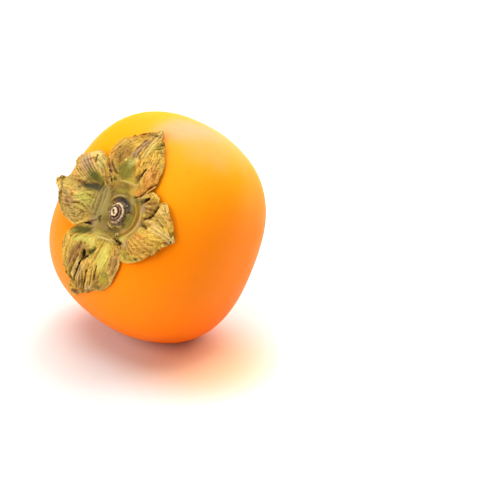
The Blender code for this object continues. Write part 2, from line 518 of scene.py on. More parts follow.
CREASES = (
    Fold((-7.9, 8.4), (-8.3, -3.4), -0.2, 0.24, -0.3),
    Fold((-8.7, 8), (-8.9, -2.8), 0.13, 0.3, -0.3),
    Fold((-9.5, 7.6), (-9.4, -2.2), -0.2, 0.22, -0.3),
    Fold((-10.6, 5), (-10.4, -1.6), -0.16, 0.2, -0.2),
    Fold((-6.9, 7.4), (-7.3, -2.6), -0.18, 0.2, -0.3),
    Fold((-4.6, -8.6), (2.4, -9.2), 0.26, 0.24, 0.5),
    Fold((-3.6, -9.9), (2.8, -10.2), 0.26, 0.24, 0.6),
    Fold((-6.6, -6.4), (-2, -7.4), -0.16, 0.25, -0.2),
    Fold((-3.4, 9.9), (2.6, 10.1), 0.3, 0.42, 0.2),
    Fold((-4.4, 8.9), (1.6, 8.9), -0.16, 0.3, 0.2),
    Fold((3.6, 6.3), (7.6, 9.3), -0.45, 0.34, -0.3),
    Fold((1.8, -8.3), (6, -10.6), -0.4, 0.34, 0.3),
    Fold((-3, -4.2), (-0.6, -5), 0.34, 0.28, -0.5),
    Fold((-3, -5), (-0.8, -5.7), -0.26, 0.24, -0.4),
    Fold((-0.6, -4.4), (2.4, -3.8), 0.24, 0.3, -0.3),
    Fold((-4.8, 3), (-0.6, 5.6), 0.26, 0.28, 0.7),
    Fold((-4, 3), (-0.9, 4.9), -0.26, 0.3, 0.5),
)
RING_RADIUS = 6.9
RING_WIDTH = 0.60
RING_RISE = 0.65
RING_HEADING = math.radians(-20)  # where the ring stands highest
RING_FALL = 0.9  # share of its height that it loses on the other side
SKIRT_SLOPE = 0.035  # fall of the surface outside the ring
DOME_RISE = 0.75
DOME_RADIUS = 3.9
DISC_RISE = 1.25


def calyx_height(x, y):
    """(height over the skin, mark of the creases, for their painted shade and ridge highlights) of the disc and of the
    leaves where they leave it.
    """
    away, heading = np.hypot(x, y), np.arctan2(y, x)
    ring = RING_RISE * (1 - RING_FALL * (1 - np.cos(heading - RING_HEADING)) / 2)
    ring = ring * np.exp(-(((away - RING_RADIUS) / RING_WIDTH) ** 2))
    dome = DOME_RISE * np.exp(-((away / DOME_RADIUS) ** 4))
    _, relief, mark = shapes_at(x, y, CREASES)
    return DISC_RISE + ring + dome - SKIRT_SLOPE * np.maximum(away - RING_RADIUS, 0) + relief, mark


TOP_SHAPES = (
    Pillow((6.9, 13.6), (2.9, 5.2), 1.2, 12),
    Pillow((-6.2, 19.5), (4.2, 6), 0.8, 30),
    Pillow((5.2, 21), (2.4, 4.5), 0.5, 25),
    Fold((0.9, 19.2), (2.4, 29.2), 0.6, 0.4, 0.2),
    Fold((2.3, 19.6), (3.3, 27.4), 0.4, 0.36, 0.2),
    Fold((0.2, 18.2), (1.4, 28.4), -0.35, 0.45, 0.3),
    Fold((-1.9, 18), (-0.9, 26.6), -0.25, 0.4, 0.4),
    Fold((-1.3, 18), (-0.3, 25.6), 0.2, 0.26, 0.4),
    Fold((-2.6, 18.6), (-2, 23.6), 0.18, 0.26, 0.3),
    Fold((3.9, 13.8), (4.7, 15.9), -1.3, 0.42, 0.1),
    Fold((3, 11), (3.8, 13.8), -0.5, 0.6, 0.1),
    Fold((5.1, 11.4), (5.4, 16.2), 0.3, 0.4),
    Fold((8, 9.9), (10, 12.4), -0.5, 0.35),
    Fold((-5.6, 11.8), (-9.2, 14.9), -0.4, 0.4, 0.3),
    Fold((-6.2, 10.4), (-8.6, 11.9), -0.35, 0.34),
    Fold((-4.6, 12.6), (-9.6, 17), 0.3, 0.7, 0.4),
    Fold((4, 24), (5.4, 25.2), -0.3, 0.26),
    Fold((3.8, 22.8), (6.2, 24.2), -0.3, 0.26),
    Fold((4.4, 22), (6.8, 22.6), -0.26, 0.26),
    Pleats((2.7, 16.8), (3.4, 22.6), (7.8, 16.8), (7.2, 20.6), 6, -0.26, 0.3),
    Pleats((5.6, 15.4), (9, 16.6), (5.6, 9.6), (9.2, 12.4), 9, -0.24, 0.26),
)
TOP_PATCHES = (
    Patch((-6.6, 18.8), (4.6, 3.6), 20, "umber", 0.75),
    Patch((-7.2, 22), (4, 2.4), 30, "tan", 0.55),
    Patch((-8.6, 20.3), (0.7, 0.5), 20, "bronze", 0.8),
    Patch((-6.9, 17.3), (0.8, 0.6), 60, "bronze", 0.7),
    Patch((-10.6, 18.4), (1.1, 3.4), 10, "amber", 0.8),
    Patch((-5.4, 25.2), (4.6, 0.9), 27, "amber", 0.8),
    Patch((-6.6, 13.4), (2.6, 2.4), -35, "umber", 0.55),
    # painted shade where the top sepal's left flap lies under the left sepal
    Patch((-9.6, 12.8), (1.2, 2.2), -28, "plum", 0.8),
    Patch((-8.1, 12.1), (0.9, 0.8), -40, "mauve", 0.8),
    Patch((-2.6, 13.4), (4, 3.6), -20, "moss", 0.9),
    Patch((-1.6, 16.8), (1.3, 2.2), -14, "sage", 0.8),
    # painted highlight
    Patch((-4, 16.7), (0.5, 0.45), 0, "cream", 0.8),
    Patch((4.8, 18.8), (3.4, 3.6), 10, "gold", 0.85),
    Patch((7.6, 13.4), (2.7, 4.8), 10, "rust", 0.85),
    Patch((7.2, 14.6), (1.3, 2.6), 10, "apricot", 0.55),
    Patch((5, 8), (2.4, 1.3), 40, "rust", 0.8),
    Patch((4.5, 6.9), (1, 0.5), 20, "apricot", 0.8),
    Patch((5.1, 24.4), (1.6, 1.9), -20, "moss", 0.6),
    Patch((2.5, 22.8), (0.8, 2.8), -6, "lime", 0.75),
    Patch((-0.9, 23.2), (1.2, 3.4), -14, "mauve", 0.75),
    Patch((-1.7, 20), (1, 1.8), -14, "mauve", 0.75),
    Patch((-0.3, 24.4), (0.6, 1.2), -24, "plum", 0.45),
    Patch((-0.6, 18.3), (1, 0.8), 20, "butter", 0.7),
    Patch((-0.9, 26), (0.7, 1.1), -20, "apricot", 0.7),
    Patch((0.5, 27.4), (0.7, 1.2), -30, "khaki", 0.8),
    # the pale midrib, partly its own colour and partly a painted highlight along its ridges
    Patch((1.5, 25.2), (0.55, 4.8), -9, "cream", 0.85),
    Patch((1.2, 16.9), (0.8, 1.8), 16, "rust", 0.6),
    Patch((2.7, 12.6), (0.9, 1.5), -8, "bronze", 0.85),
    Patch((4.3, 14.9), (0.45, 1.2), -24, "painted_shadow"),
    # yellow-green band on a ridge, partly its own colour and partly a painted highlight
    Patch((0.6, 10.6), (2.6, 0.7), 0, "moss_gold", 0.8),
    Patch((-6.9, 9), (0.5, 1), 32, "painted_shadow"),
    Patch((-5.8, 9.7), (1.1, 0.9), 0, "dark_moss_and_shade", 0.9),
    Patch((-7.3, 10.9), (0.9, 0.5), -20, "butter", 0.65),
)

RIGHT_SHAPES = (
    Pillow((11.2, 6.4), (2.5, 3.6), 1.5, -10),
    Pillow((16.4, 3.6), (3.2, 3.2), 1.2),
    Pillow((12.6, -7.8), (6.6, 5), 1.9, 35),
    Fold((5.4, 5.8), (8.6, 8.6), 0.45, 0.4, 0.1),
    Fold((6.2, 5.4), (9.9, 7.5), -1.5, 0.5, -0.1),
    Fold((10.2, 0.9), (13.9, 6), -0.6, 0.42, -1),
    Fold((11.6, 0.8), (20.6, -2), 0.75, 0.6, 0.7),
    Fold((12.6, -1.4), (20.2, -3), 0.45, 0.55, 0.3),
    Fold((8.6, -0.6), (12, -1.6), -1, 0.8),
    Fold((21.3, -3.1), (21.6, -3.3), -0.3, 0.3),
    Fold((9.6, 5.4), (13, 6.6), -0.24, 0.3),
    Fold((10, 4.2), (13.6, 4.6), -0.28, 0.3),
    Fold((9.6, 2.9), (12.4, 3.3), -0.28, 0.3),
    Fold((10.4, 7.2), (12.8, 8), -0.22, 0.28),
    Fold((10, 4.8), (13, 5.6), 0.25, 0.32),
    Fold((9.8, 3.5), (12.8, 3.9), 0.25, 0.32),
    Pleats((8.6, -4.4), (13.6, -5.4), (8, -9.8), (11, -12), 6, -0.24, 0.32),
    Pleats((11.6, 0.9), (20.4, -0.6), (13, 2.6), (17.2, 6), 6, -0.12, 0.32),
    Pleats((14.2, -5.6), (18.2, -6.6), (11.4, -11.4), (13.8, -12.4), 5, -0.2, 0.28),
    Fold((3.6, -8.6), (5.6, -9.2), -0.4, 0.35),
    Fold((4.4, -7.9), (6.2, -8.4), 0.3, 0.35),
)
RIGHT_PATCHES = (
    Patch((11.4, 4.9), (2.6, 3.2), -10, "umber", 0.7),
    Patch((12.4, -8), (6, 4.8), 35, "amber", 0.4),
    Patch((16.6, -4.2), (3.4, 2), -20, "gold", 0.9),
    Patch((15.6, 5.4), (2.2, 2.2), -30, "butter", 0.35),
    Patch((18.4, 0.8), (2.6, 3), 10, "gold", 0.9),
    Patch((18.6, 3), (1.2, 2.2), 20, "apricot", 0.45),
    Patch((16, 2), (2.6, 1.6), -8, "khaki", 0.55),
    Patch((16, -0.6), (5, 0.9), -13, "cream", 0.6),
    Patch((16.4, -2.2), (4.4, 0.5), -12, "cream", 0.5),
    Patch((18.8, -1), (0.7, 0.5), 0, "moss", 0.8),
    Patch((10.6, -3), (1.2, 0.6), -10, "lime", 0.4),
    Patch((10.8, -5), (2.6, 1.1), -12, "rust", 0.65),
    Patch((7.2, -8.8), (1.6, 1.8), -30, "fawn", 0.85),
    Patch((9.8, -12.4), (4.4, 1.3), 2, "leaf_green", 0.6),
    Patch((7.8, -10.4), (2.8, 2.2), 0, "moss", 0.35),
    Patch((5.4, -8), (1.8, 0.6), -30, "lime", 0.3),
    # painted highlight on the right sepal's lit top edge
    Patch((6.6, 7.2), (2.2, 0.4), 43, "sage", 0.8),
    Patch((8.5, 4.4), (1.1, 2.1), 0, "mauve", 0.85),
    Patch((8.6, 7), (1.6, 0.45), 20, "painted_shadow"),
    Patch((6.5, 5.2), (0.8, 0.7), 0, "dark_moss_and_shade", 0.9),
    Patch((12.6, 2.6), (1.5, 0.35), 32, "painted_shadow", 0.3),
    Patch((11, 1.3), (1.8, 0.4), 14, "umber", 0.9),
    Patch((9.6, 2.2), (0.8, 0.7), 0, "lime", 0.45),
    # painted shade in the trough at the right sepal's foot
    Patch((10.3, -1.2), (1.7, 0.7), -8, "bronze", 0.85),
    Patch((8.2, -1.6), (0.8, 2.2), 8, "fawn", 0.65),
    Patch((4.3, -9.5), (0.5, 0.9), -20, "painted_shadow", 0.85),
    Patch((5, -8.6), (0.6, 0.5), 0, "dark_moss_and_shade", 0.7),
    Patch((12.9, -12), (0.6, 0.5), 0, "dark_moss_and_shade", 0.9),
    Patch((20.5, -4), (0.9, 0.5), 30, "plum", 0.8),
    Patch((21.4, -2.9), (1.3, 1.1), 0, "cream"),
    Patch((21.5, -3.3), (0.36, 0.36), 0, "painted_shadow", 0.95),
)

BOTTOM_SHAPES = (
    Pillow((1.4, -16.4), (3.8, 6.2), 1.5, 12),
    Pillow((-10.6, -17.6), (3.4, 5.6), 0.5, -28),
    Fold((-3.8, -10.6), (-15, -12.6), 1, 1.4, 0.4),
    Fold((-15.2, -10.4), (-8.6, -8), -1.1, 1.1),
    Fold((-8, -18.2), (-11, -24.8), -1.3, 0.28, 0.2),
    Fold((-7.6, -15.4), (-7.8, -18), -1.4, 0.45, 0.1),
    Fold((-4, -13.4), (-7, -17.4), -1.2, 0.75),
    Fold((-8.9, -17.8), (-11.7, -24.2), 0.6, 0.26, 0.25),
    Fold((-9.6, -17.2), (-13, -23.9), -0.4, 0.3, 0.2),
    Fold((-10.4, -16.5), (-14.2, -23.2), 0.15, 0.3, 0.2),
    Fold((-5.6, -18.4), (-9.4, -25.2), 0.5, 0.5, 0.35),
    Fold((-5.4, -21.2), (-6.3, -27), -0.8, 0.32),
    Fold((-4.6, -18.8), (-5, -23.4), -0.4, 0.28),
    Fold((-4, -18.6), (-5, -27.2), 0.3, 0.34),
    Fold((-2.7, -19.6), (-3.5, -25.2), -0.4, 0.28),
    Fold((-1.8, -18.2), (-2.6, -25.6), 0.25, 0.32),
    Fold((-0.6, -18.6), (-1.7, -23), -0.6, 0.28, -0.2),
    Pleats((-13.2, -12.2), (-18.4, -16), (-10.4, -15), (-14.4, -22.4), 8, -0.2, 0.28, 1.5),
    Pleats((-8.6, -22.8), (-9.6, -28.4), (-6.8, -21.6), (-7, -27.4), 3, -0.3, 0.28),
)
BOTTOM_PATCHES = (
    Patch((-6, -17), (12, 12), 0, "leaf_green", 0.28),
    Patch((-15.8, -15.6), (2, 4.6), -30, "gold", 0.3),
    Patch((-7.6, -26), (5.4, 3.8), -8, "umber", 0.45),
    Patch((0.4, -24.2), (4.2, 2.8), 12, "umber", 0.5),
    Patch((-11.2, -9.3), (5.4, 1.6), 14, "dark_moss_and_shade", 0.92),
    Patch((-14.8, -10.6), (2, 0.6), 24, "leaf_green", 0.45),
    Patch((-9.6, -7.1), (1.8, 0.4), 14, "sage", 0.8),
    Patch((-7.2, -8.2), (1, 1.3), 0, "mauve", 0.6),
    Patch((-9.6, -12), (4.6, 1.3), 12, "leaf_green", 0.8),
    Patch((-8.6, -12.2), (3.6, 0.9), 12, "lime", 0.7),
    Patch((-5.2, -12.1), (2.2, 1.9), 30, "lime", 0.65),
    Patch((-5.2, -8.8), (1.8, 1.2), -20, "leaf_green", 0.5),
    Patch((-11.2, -17.4), (2.4, 5.2), -28, "umber"),
    Patch((-9.6, -15.2), (1.7, 1), -20, "plum", 0.5),
    Patch((-7.8, -14.2), (1.2, 0.6), -40, "fawn", 0.7),
    Patch((-9.6, -20.6), (0.3, 2.6), -25, "cream", 0.95),
    Patch((-11.3, -23.8), (0.45, 1.4), -26, "cream", 0.85),
    Patch((1.2, -15.6), (2.3, 4.8), 2, "lime", 0.75),
    Patch((-4.4, -21.2), (2.4, 3.2), -6, "gold", 0.8),
    Patch((-8.2, -22.8), (0.9, 2.8), -20, "fawn", 0.8),
    Patch((-7.6, -19.6), (0.4, 0.7), -20, "apricot", 0.8),
    Patch((-5.2, -18.3), (1.2, 0.7), 10, "apricot", 0.9),
    Patch((5.2, -15.2), (1.4, 5.6), 4, "clay", 0.6),
    Patch((5.6, -16.4), (0.8, 3.4), 4, "umber", 0.5),
    Patch((2.4, -22.2), (2.2, 1.4), 20, "moss_gold", 0.8),
    Patch((3.1, -20.3), (1.5, 1), 15, "moss", 0.85),
    Patch((3.1, -20.3), (0.6, 0.45), 15, "khaki", 0.9),
    Patch((-0.6, -23.4), (1.3, 1.2), 0, "umber", 0.95),
    Patch((-0.6, -23.4), (0.45, 0.45), 0, "sage", 0.8),
    Patch((-0.2, -25.2), (1.8, 0.7), 12, "bronze", 0.8),
    Patch((-0.8, -20.6), (0.25, 2.4), -10, "dark_moss_and_shade", 0.75),
    Patch((-3.4, -26.4), (1, 1), 0, "mauve", 0.95),
    Patch((-3.4, -27.2), (0.9, 0.35), 10, "painted_shadow", 0.7),
    # painted highlight
    Patch((-3.4, -26.2), (0.3, 0.4), 0, "cream", 0.8),
    Patch((-10.3, -29.3), (1.7, 0.7), 8, "plum", 0.95),
    Patch((-9.4, -27), (0.7, 1.6), -8, "umber", 0.75),
    Patch((-12.2, -27.8), (1, 1.6), 0, "gold", 0.5),
    Patch((-10.6, -25.5), (0.8, 0.7), 10, "painted_shadow", 0.8),
    Patch((-5, -14.8), (1, 1.9), -50, "dark_moss_and_shade", 0.95),
    Patch((-6.2, -17), (1, 0.4), 25, "painted_shadow", 0.95),
    Patch((-6, -17.7), (0.5, 0.3), 10, "butter", 0.75),
    Patch((-7.7, -16.6), (0.42, 1.5), -6, "painted_shadow"),
    Patch((-9.2, -20.9), (0.26, 3), -25, "painted_shadow"),
    Patch((-12.6, -22.4), (0.3, 1.7), -30, "painted_shadow", 0.6),
    Patch((-10.2, -6.5), (2.2, 0.5), 8, "painted_shadow"),
)

LEFT_SHAPES = (
    Pillow((-16.4, 11.6), (6.6, 3.6), 1.7, -28),
    Pillow((-16.2, -1), (7, 4.4), 1.4),
    Fold((-8.8, 7.2), (-15.4, 5), -1.1, 1.2, -0.2),
    Fold((-16.2, 5), (-19.4, 5), -0.2, 0.9),
    Pillow((-21, 6.4), (2.6, 2.6), 0.9),
    Fold((-9.2, 9.4), (-14, 13.8), 0.5, 0.7, 0.3),
    Fold((-15.4, 15.2), (-14.1, 12.9), -0.6, 0.28),
    Pleats((-22.4, 8.2), (-16.4, 5.6), (-17.6, 15.4), (-11.8, 11), 9, -0.16, 0.28, 2.2),
    Fold((-16.6, -1.9), (-11, -2.4), -0.26, 0.28, 0.6),
    Fold((-16.6, -1.1), (-11.2, -1.6), 0.3, 0.28, 0.6),
    Fold((-15.8, -3.4), (-11.8, -3.8), -0.26, 0.28, 0.4),
    Fold((-16.2, -2.7), (-11.4, -3.1), 0.3, 0.28, 0.5),
    Pleats((-18.6, -3.4), (-12.4, -3.8), (-16.4, -7.2), (-12, -6.2), 6, -0.22, 0.26, 1.4),
    Pleats((-19, 4.2), (-25, 3.8), (-18.6, 1.4), (-24.6, 1.6), 3, -0.14, 0.34),
    Pleats((-18, 0.2), (-23.6, -0.4), (-18, -3.4), (-22, -3.8), 4, -0.16, 0.3),
)
LEFT_PATCHES = (
    Patch((-17, 3), (12, 12), 0, "fawn", 0.3),
    Patch((-16, 1), (10, 8), 0, "sage", 0.3),
    Patch((-12.6, 13.6), (5, 1.7), -46, "khaki", 0.5),
    Patch((-12.2, 13), (3.2, 0.9), -46, "sage", 0.55),
    Patch((-16, 15.6), (2.8, 1), 4, "butter", 0.7),
    Patch((-19, 14), (3, 0.9), 28, "butter", 0.65),
    Patch((-17.4, 11.4), (5, 3), -28, "fawn", 0.9),
    Patch((-17.4, 11.6), (3, 1.6), -20, "mauve", 0.75),
    Patch((-15.6, 11.2), (2.2, 1), -24, "plum", 0.45),
    Patch((-14.2, 9.9), (1.8, 0.9), -30, "umber", 0.6),
    Patch((-12.6, 8.7), (3.4, 1.8), -26, "moss", 0.95),
    Patch((-12.6, 8.4), (2.8, 1.2), -20, "dark_moss_and_shade", 0.85),
    Patch((-10.2, 8.2), (1.2, 1), 0, "moss", 0.6),
    Patch((-14.6, 7.2), (1.5, 0.8), -20, "moss", 0.85),
    Patch((-17.8, 5.2), (1.9, 0.8), -10, "umber", 0.9),
    Patch((-17.2, 3.4), (0.7, 0.4), 10, "bronze", 0.8),
    Patch((-20.6, 6.8), (1.8, 1.6), -30, "apricot", 0.4),
    Patch((-13.6, 4.9), (3.9, 1.3), 4, "valley_shade", 0.95),
    Patch((-10.6, 5.6), (2.5, 1.4), 8, "valley_shade", 0.85),
    Patch((-12.4, 3.9), (2.6, 0.6), -4, "moss", 0.6),
    Patch((-12.4, 6.2), (1.3, 0.4), 8, "painted_shadow", 0.6),
    Patch((-13.4, 1), (4.2, 2.4), -2, "leaf_green", 0.8),
    Patch((-14.4, 1.2), (2.8, 1), -2, "lime", 0.3),
    Patch((-17.8, 1.3), (1.5, 0.7), 10, "apricot", 0.85),
    Patch((-19.6, 2.4), (1.2, 0.5), 14, "clay", 0.6),
    Patch((-19, -1.9), (2.8, 1.6), -10, "plum", 0.6),
    Patch((-18.6, -1.7), (1.2, 0.7), 0, "clay", 0.5),
    Patch((-21.8, 0.3), (1.8, 0.7), 0, "mauve", 0.6),
    Patch((-15.4, -5.6), (5, 2.2), -6, "khaki", 0.45),
    Patch((-13.4, -2.2), (2.8, 1.2), -8, "moss_gold", 0.55),
    Patch((-22.6, 3), (3.4, 1.9), 0, "gold", 0.75),
    Patch((-25.8, 1.6), (2, 1.8), 0, "butter", 0.75),
    Patch((-26.8, 2.8), (1.4, 1), 0, "gold", 0.9),
    Patch((-28.2, 2.9), (0.4, 1), 0, "umber", 0.7),
    Patch((-23.2, 3.8), (4, 2.4), 0, "khaki", 0.4),
)

LEAVES = {
    "sepal_top": Leaf(
        left=((-5, 5.2), (-7.6, 9), (-10.4, 12.9), (-11.9, 17), (-11.5, 20.4), (-9.4, 23.2),
              (-5.5, 25.4), (-1.9, 27.4), (0.4, 28.3)),
        right=((5.2, 5), (7.4, 8.6), (9.7, 11), (10.2, 14.2), (9.4, 19), (7.4, 22.6), (4.6, 26),
               (2.8, 28.2)),
        tip=(1.6, 29.5),
        lift=0.12,
        tip_lift=1,
        edge_lift=0.25,
        wrinkle=0.14,
        grain=(0.75, 0.60),
        shapes=TOP_SHAPES,
        patches=TOP_PATCHES,
    ),
    "sepal_right": Leaf(
        left=((4.8, 5), (7, 7.9), (9, 9.9), (11.4, 9.7), (13.2, 8.6), (13.7, 6.9), (15.4, 7.7),
              (17.9, 5.3), (19.7, 2.7), (21, -0.4)),
        right=((2, -7.2), (3.6, -9.6), (5.6, -11.6), (7, -14.2), (10.4, -14.1), (14.2, -12),
               (17.2, -8.9), (19.2, -5.6), (20.6, -3.6)),
        tip=(21.6, -2.8),
        lift=0,
        tip_lift=0.9,
        edge_lift=-0.25,
        wrinkle=0.16,
        grain=(0.90, 0.60),
        shapes=RIGHT_SHAPES,
        patches=RIGHT_PATCHES,
    ),
    "sepal_bottom": Leaf(
        left=((4.6, -5.4), (2.6, -8.8), (4.6, -10.6), (6.6, -13.6), (7.1, -16.4), (6.2, -20.4), (4.2, -23.6),
              (0.8, -26), (-2.8, -27), (-4.4, -27.9), (-7.6, -28.7), (-9.8, -29.9)),
        right=((-6.4, -4.4), (-9.6, -6), (-13.6, -8), (-17.2, -11.4), (-18.8, -16.2), (-17.4, -20.6),
               (-15.2, -23.8), (-12.8, -25.5), (-13.4, -28)),
        tip=(-12.4, -30.2),
        lift=-0.05,
        tip_lift=0.8,
        edge_lift=0.2,
        wrinkle=0.16,
        grain=(1.90, 0.60),
        shapes=BOTTOM_SHAPES,
        patches=BOTTOM_PATCHES,
    ),
    "sepal_left": Leaf(
        left=((-6.6, -3.8), (-9.2, -5.7), (-11.6, -7), (-14.4, -8.8), (-17.6, -7.7), (-21.2, -5.4),
              (-23.5, -2.2), (-25, 0.6), (-27, 1.8)),
        right=((-5, 5.6), (-7.4, 8.8), (-9.2, 12), (-11.4, 15.6), (-15.2, 17.2), (-17.6, 16),
               (-20.6, 14.4), (-23.1, 13.3), (-24.2, 9.8), (-25.4, 7.4), (-26.4, 4.6)),
        tip=(-28.2, 3.4),
        lift=0.45,
        tip_lift=4.6,
        edge_lift=0.5,
        wrinkle=0.16,
        grain=(1.70, 0.60),
        shapes=LEFT_SHAPES,
        patches=LEFT_PATCHES,
        skew=1.9,
        bites=(((-26, 8.3), 3.3),),
    ),
}

DISC_PATCHES = (
    Patch((-7.8, 1.4), (2.8, 7), 2, "khaki", 0.85),
    Patch((-10.8, 0.2), (1.4, 1.2), 0, "fawn", 0.5),
    Patch((-4.6, 7.6), (2.2, 1.2), 0, "umber", 0.3),
    Patch((-1.6, 7.1), (3.2, 0.9), 4, "moss_gold", 0.4),
    Patch((2.8, 8), (2.2, 1.6), 20, "ochre", 0.7),
    Patch((3, 9.4), (0.7, 2), 0, "straw", 0.6),
    Patch((2.9, 5.2), (1.6, 1), -35, "khaki", 0.6),
    # The ring: the pale straw lines on its flanks are painted highlights, and the thin umber line in its dark gold band
    # is its painted shadow
    Arc(6.3, 0.3, 18, 40, "straw", 0.75),
    Arc(8.2, 0.45, -14, 55, "straw", 0.9),
    Arc(7.1, 0.75, -14, 65, "dark_gold"),
    Arc(7.5, 0.26, -16, 50, "umber", 0.7),
    Patch((5.9, -1.6), (0.5, 2.6), 4, "clay", 0.2),
    Patch((3.7, -5.2), (1.9, 0.9), 24, "clay", 0.45),
    Patch((3.9, -1.6), (1.5, 2.6), -10, "moss", 0.7),
    # painted contact shadow round the stub's foot
    Patch((0.6, -6), (2.8, 1.2), 0, "bronze", 0.75),
    Patch((-0.6, -7.8), (2.6, 0.8), 4, "dark_gold", 0.45),
    Patch((-3.6, -5.8), (1.8, 1.6), 0, "fawn", 0.3),
    Patch((-8, -5.4), (1.4, 2), 20, "mauve", 0.7),
    Patch((-3.7, 3.4), (1.2, 1.4), 30, "umber", 0.6),
    Patch((-2.1, 4), (1.9, 0.9), 20, "soot", 0.85),
    Patch((0.2, 3.9), (1.8, 1.2), -16, "soot", 0.95),
    Patch((1.9, 2.7), (1.5, 1.4), -40, "soot", 0.95),
    Patch((2.8, 1.2), (0.8, 1.4), 0, "soot", 0.7),
    Patch((-4.7, 3.9), (1, 1.1), 30, "umber", 0.6),
    Patch((1.5, 3), (0.26, 0.26), 0, "silver", 0.95),
    Patch((0.5, 2.2), (0.2, 0.24), 0, "silver", 0.5),
    Patch((2.3, 1.8), (0.22, 0.24), 0, "silver", 0.6),
    Patch((-3.6, 4.9), (1.5, 0.35), 36, "fawn", 0.8),
    Patch((-1, 5.7), (1.9, 0.4), 4, "khaki", 0.8),
    Patch((-2, -5), (1.3, 0.3), -28, "straw", 0.7),
    Patch((1, -4.3), (1.4, 0.5), 0, "straw", 0.45),
    Patch((3, 0.2), (0.5, 0.5), 0, "straw", 0.6),
    # painted highlights: a spot, and a line along a ridge
    Patch((2.1, -6.7), (0.6, 0.5), 30, "cream", 0.85),
    Patch((-1, -9.4), (4, 0.45), 4, "cream", 0.55),
    Patch((4.8, -7.4), (2, 0.8), 30, "lime", 0.4),
)

SMOOTH_COLOURS = ("lime", "moss", "moss_gold", "dark_moss_and_shade", "valley_shade", "butter")

# The calyx's colours, as light that they return
CALYX_COLOURS = {
    "olive": (0.175, 0.116, 0.020),
    "bronze": (0.140, 0.090, 0.020),
    "khaki": (0.360, 0.280, 0.085),
    "straw": (0.500, 0.320, 0.085),
    "dark_gold": (0.290, 0.172, 0.008),
    "drab": (0.235, 0.160, 0.034),
    "tan": (0.480, 0.298, 0.052),
    "umber": (0.270, 0.135, 0.030),
    "fawn": (0.400, 0.235, 0.105),
    "amber": (0.590, 0.270, 0.040),
    "ochre": (0.600, 0.348, 0.042),
    "gold": (0.720, 0.450, 0.070),
    "rust": (0.590, 0.235, 0.038),
    "apricot": (0.800, 0.420, 0.100),
    "clay": (0.430, 0.235, 0.095),
    "moss": (0.170, 0.150, 0.020),
    "moss_gold": (0.360, 0.285, 0.030),
    # dark moss green, and painted shade in folds, gaps and creases
    "dark_moss_and_shade": (0.080, 0.080, 0.012),
    "leaf_green": (0.400, 0.350, 0.060),
    "sage": (0.360, 0.320, 0.085),
    "lime": (0.600, 0.530, 0.105),
    "cream": (0.760, 0.580, 0.210),
    "butter": (0.740, 0.530, 0.180),
    "silver": (0.420, 0.430, 0.360),
    "mauve": (0.340, 0.212, 0.125),
    "plum": (0.230, 0.095, 0.050),
    # painted shade in the left sepal's valley
    "valley_shade": (0.056, 0.050, 0.026),
    "soot": (0.056, 0.046, 0.042),
    # painted shadow in gaps, slots, holes and deep creases
    "painted_shadow": (0.030, 0.017, 0.008),
}


# Materials


def skin_finish():
    """Waxy orange skin: deeper towards the ground and yellower on top, partly its own colour and partly painted shade
    and painted light, faintly clouded, finely pored, with soft pale painted highlights on top.
    """
    finish = Finish("skin", {
        "Specular IOR Level": 0.10,
        "Subsurface Weight": 0.10,
        "Subsurface Radius": (1.0, 0.30, 0.08),
        "Subsurface Scale": 0.004,
    })
    place = finish.object_place
    height = finish.add("ShaderNodeSeparateXYZ", None, {"Vector": place}, output="Z")
    clouds = finish.noise(place, 38, detail=3, roughness=0.55)
    # Deeper low and yellower high: partly the fruit's own colour, partly painted shade and painted light
    tone_height = height + 0.012 * (clouds - 0.5)
    colour = finish.mix(finish.step(tone_height, *RIPE_AND_SHADED_HEIGHTS), SKIN_COLOUR, RIPE_AND_SHADED_COLOUR)
    colour = finish.mix(finish.step(tone_height, *YELLOW_AND_LIT_HEIGHTS), colour, YELLOW_AND_LIT_COLOUR)
    wander = finish.vector("SUBTRACT", finish.wander(place, 90, 3), (0.5, 0.5, 0.5))
    # Each painted highlight: a pale cloud on top of the fruit
    for centre, radii, heading, strength in PAINTED_HIGHLIGHTS:
        cloud = finish.seen_from(centre, radii, place, (0, 0, math.radians(heading)))
        away = finish.vector("LENGTH", finish.vector("ADD", cloud, wander))
        colour = finish.mix(finish.step(away, *HIGHLIGHT_BORDER, 0.0, strength), colour, HIGHLIGHT_COLOUR)
    mottle = finish.noise(place, 420, detail=3, roughness=0.6)
    colour = finish.shade(finish.step(mottle, 0.45, 0.75, 0.0, 0.35), colour, (0.97, 0.90, 0.80))
    specks = finish.step(finish.cells(place, 260), 0.10, 0.03, 0.0, 0.25)
    colour = finish.shade(specks, colour, (0.80, 0.62, 0.50))
    finish.set("Base Color", colour)
    sheen = finish.noise(place, 90, detail=4, roughness=0.6)
    finish.set("Roughness", finish.step(sheen, 0.3, 0.7, 0.42, 0.54))
    undulation = finish.bump(finish.noise(place, 130), 0.0010, 0.10)
    finish.set("Normal", finish.bump(finish.cells(place, 1500), 0.00006, 0.25, undulation))
    return finish


def calyx_plan(finish, fruit_place):
    """The calyx's plan in millimetres, from its centre, for the listed patterns."""
    centre = fruit_place @ Vector((*CALYX_CENTRE, 0))
    return finish.vector("MULTIPLY", finish.seen_from(centre, (MM, MM, MM), finish.object_place, LEAN), (1, 1, 0))


def patch_share(finish, plan, patch):
    """How far an oval patch shows, its border softened."""
    oval = finish.seen_from((*patch.centre, 0), (*patch.radii, 1), plan, (0, 0, math.radians(patch.turn)))
    return finish.step(finish.vector("LENGTH", oval), *PATCH_BORDER, 0.0, patch.strength)


